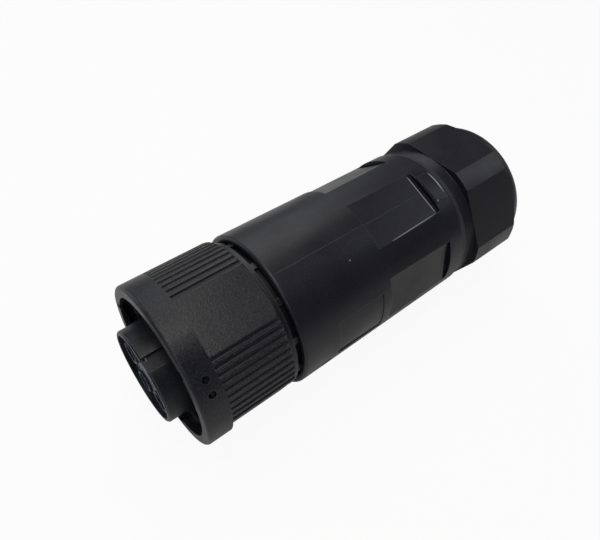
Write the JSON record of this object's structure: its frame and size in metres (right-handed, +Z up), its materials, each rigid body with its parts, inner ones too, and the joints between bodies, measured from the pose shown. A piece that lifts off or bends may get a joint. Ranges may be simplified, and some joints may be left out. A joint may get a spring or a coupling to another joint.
{
  "type": "female power connector",
  "caption": "Round female cable connector for power: bayonet coupling ring, contact carrier with sockets, flatted body and hexagon cable gland nut.",
  "frame": {"origin": "centre of the mating face, in the plane of the contact carrier's front rim, on the connector's axis", "axes": "+X along the connector's axis from the mating face to the cable gland, +Z up as it lies on its side with a flat of the gland nut down"},
  "size_m": [0.1194, 0.0464, 0.0442],
  "materials": {
    "ring_polyamide": "spark-eroded matt black",
    "sleeve_polyamide": "satin black",
    "body_polyamide": "fine-grained satin black",
    "nut_polyamide": "fine-grained matt black",
    "carrier_polyamide": "satin dark grey",
    "basket_polyamide": "smooth black",
    "thrust_plastic": "smooth white",
    "seal_rubber": "matt black",
    "gasket_rubber": "smooth dark grey",
    "spring_steel": "bright",
    "screw_steel": "zinc plated",
    "contact_metal": "silver plated"
  },
  "bodies": {
    "connector": {"disc_spring": "spring_steel", "ring_retainer": "spring_steel", "front_sleeve": "sleeve_polyamide", "face_seal": "seal_rubber", "spigot_o_ring": "seal_rubber", "contact_carrier": "carrier_polyamide", "contact_insert": "carrier_polyamide", "terminal_block": "carrier_polyamide", "tie_screw": "screw_steel", "block_circlip": "spring_steel", "body_shell": "body_polyamide", "tail_gasket": "gasket_rubber", "clamp_basket": "basket_polyamide", "cable_seal": "seal_rubber", "contact_l1": "contact_metal", "contact_l2": "contact_metal", "contact_l3": "contact_metal", "contact_n": "contact_metal", "contact_pe": "contact_metal", "terminal_screw_l1": "screw_steel", "terminal_screw_l2": "screw_steel", "terminal_screw_l3": "screw_steel", "terminal_screw_n": "screw_steel", "terminal_screw_pe": "screw_steel"},
    "ring": {"coupling_ring": "ring_polyamide"},
    "gland_carriage": {"thrust_ring": "thrust_plastic"},
    "nut": {"gland_nut": "nut_polyamide"}
  },
  "joints": [
    {"name": "coupling_turn", "type": "hinge", "parent": "connector", "child": "ring", "pos_m": [0, 0, 0], "axis": [-1, 0, 0], "range_deg": [0, 23]},
    {"name": "nut_advance", "type": "slide", "parent": "connector", "child": "gland_carriage", "axis": [1, 0, 0], "range_m": [0, 0.0045]},
    {"name": "nut_turn", "type": "hinge", "parent": "gland_carriage", "child": "nut", "pos_m": [0, 0, 0], "axis": [1, 0, 0], "range_deg": [0, 1080]}
  ],
  "couplings": [
    {"joint": "nut_turn", "follows": "nut_advance", "rad_per_m": 4188.8}
  ]
}
